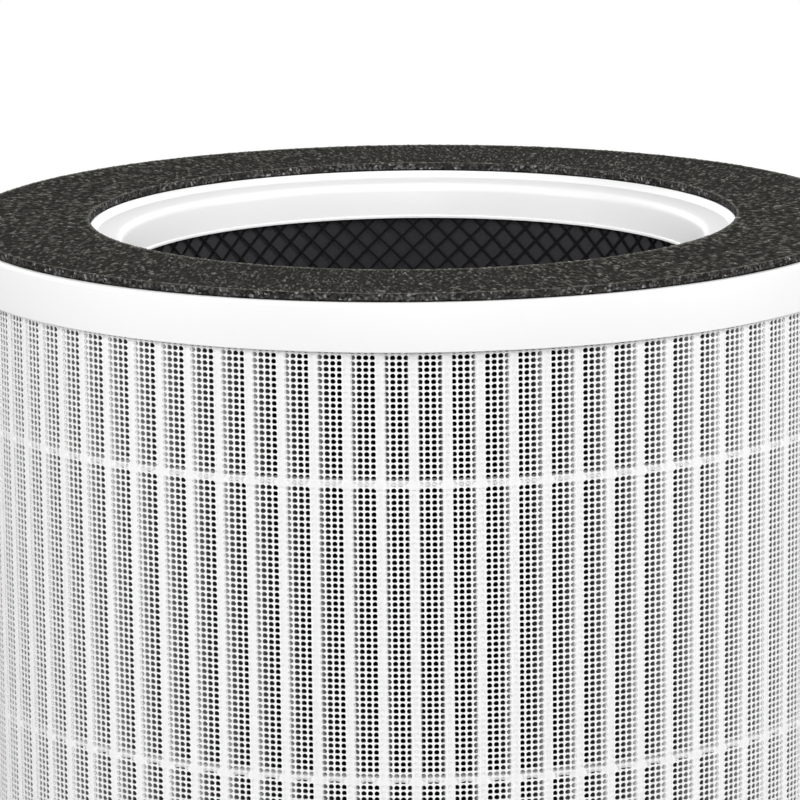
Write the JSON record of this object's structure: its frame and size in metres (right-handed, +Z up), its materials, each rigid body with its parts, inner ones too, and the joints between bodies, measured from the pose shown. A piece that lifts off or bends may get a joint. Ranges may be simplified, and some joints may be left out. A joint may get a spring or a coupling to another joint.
{
  "type": "air purifier filter",
  "caption": "Upright round air filter with pleated media under a fine white net, moulded end caps, a dark foam gasket and a hollow carbon-lined core.",
  "frame": {"origin": "centre of the underside of the lower cap, on the axis of the filter", "axes": "+Z up along the axis of the filter, from the closed lower cap to the gasket round the air outlet"},
  "size_m": [0.2, 0.2, 0.204],
  "materials": {
    "gasket_foam": "dark grey closed-cell foam, matt and finely speckled",
    "cap_plastic": "white moulded plastic, satin",
    "seal_glue": "cast sealing glue, slightly creamy",
    "white_net": "fine white plastic net",
    "filter_paper": "white pleated filter paper, fibrous",
    "bead_glue": "white hot-melt glue, smooth",
    "carbon_cloth": "charcoal cloth over activated carbon",
    "black_net": "black plastic diamond net"
  },
  "bodies": {
    "root": {"top_gasket": "gasket_foam", "top_cap": "cap_plastic", "top_seal_glue": "seal_glue", "outer_net": "white_net", "pleated_media": "filter_paper", "outer_bead_upper": "bead_glue", "outer_bead_middle": "bead_glue", "outer_bead_lower": "bead_glue", "inner_bead_upper": "bead_glue", "inner_bead_middle": "bead_glue", "inner_bead_lower": "bead_glue", "carbon_sleeve": "carbon_cloth", "inner_net": "black_net", "bottom_seal_glue": "seal_glue", "bottom_cap": "cap_plastic"}
  },
  "joints": []
}
